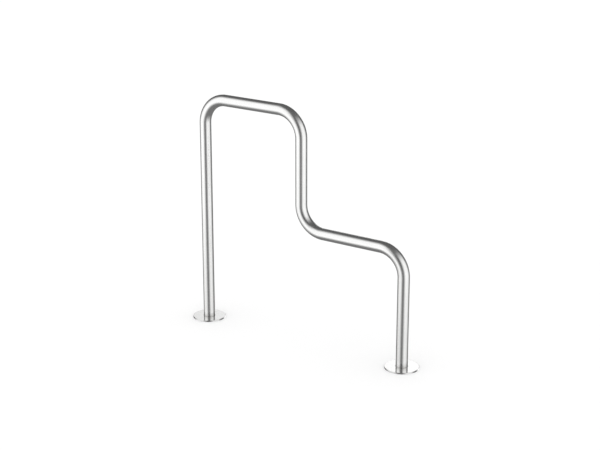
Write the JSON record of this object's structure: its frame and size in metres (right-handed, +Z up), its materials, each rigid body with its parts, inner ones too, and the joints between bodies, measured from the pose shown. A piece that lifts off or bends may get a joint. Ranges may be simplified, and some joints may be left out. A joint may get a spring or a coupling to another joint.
{
  "type": "bike rack",
  "caption": "Stepped bike rack bent from round steel tube, with bolt-down base plates hidden under flat round covers that slide up the legs.",
  "frame": {"origin": "on the ground, midway between the tall leg and the short leg", "axes": "+X along the rack from the tall leg to the short leg, +Y across the rack, +Z up"},
  "size_m": [1.116, 0.14, 1],
  "materials": {
    "tube_steel": "satin ground along the tube",
    "plate_steel": "mill finish, laser-cut edges",
    "weld_metal": "ground weld",
    "cover_steel": "fine turned, nearly polished"
  },
  "bodies": {
    "rack_frame": {"rack_tube": "tube_steel", "tall_leg_base_plate": "plate_steel", "short_leg_base_plate": "plate_steel", "tall_leg_weld": "weld_metal", "short_leg_weld": "weld_metal"},
    "tall_foot_cover": {"tall_leg_cover": "cover_steel"},
    "short_foot_cover": {"short_leg_cover": "cover_steel"}
  },
  "joints": [
    {"name": "tall_cover_slide", "type": "slide", "parent": "rack_frame", "child": "tall_foot_cover", "axis": [0, 0, 1], "range_m": [0, 0.86]},
    {"name": "short_cover_slide", "type": "slide", "parent": "rack_frame", "child": "short_foot_cover", "axis": [0, 0, 1], "range_m": [0, 0.372]}
  ]
}
